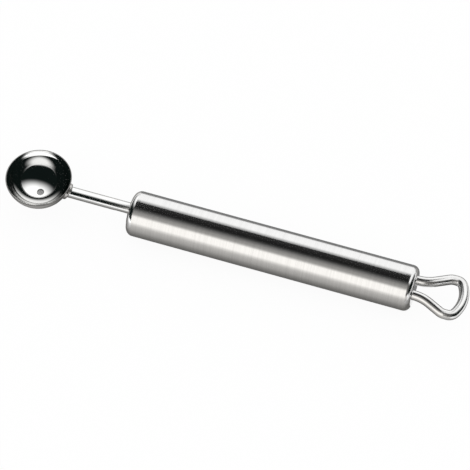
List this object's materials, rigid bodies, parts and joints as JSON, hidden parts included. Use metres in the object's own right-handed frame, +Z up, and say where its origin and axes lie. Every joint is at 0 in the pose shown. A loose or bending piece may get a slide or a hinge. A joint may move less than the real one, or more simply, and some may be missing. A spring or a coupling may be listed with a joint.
{
  "type": "melon baller",
  "caption": "Steel melon baller: polished half-ball scoop with a vent hole on a round neck, hollow satin round handle with rounded caps, flared wire hanging loop.",
  "frame": {"origin": "middle of the overall footprint, on the surface that the handle lies on", "axes": "+X along the handle from the bowl to the hanging loop, +Z up out of the bowl's mouth, +Y across"},
  "size_m": [0.2002, 0.0278, 0.0194],
  "materials": {
    "polished_steel": "mirror-polished stainless steel with faint wiping marks",
    "satin_steel": "satin-ground stainless steel, slightly duller than the bowl",
    "weld_bead": "weld metal, smoothed on the bowl and as laid inside the handle"
  },
  "bodies": {
    "root": {"scoop_bowl": "polished_steel", "bowl_weld": "weld_bead", "neck_rod": "polished_steel", "front_cap": "satin_steel", "neck_inner_weld": "weld_bead", "front_seam_weld": "satin_steel", "handle_tube": "satin_steel", "rear_seam_weld": "satin_steel", "rear_cap": "satin_steel", "hanging_loop": "polished_steel", "loop_inner_weld_left": "weld_bead", "loop_inner_weld_right": "weld_bead"}
  },
  "joints": []
}
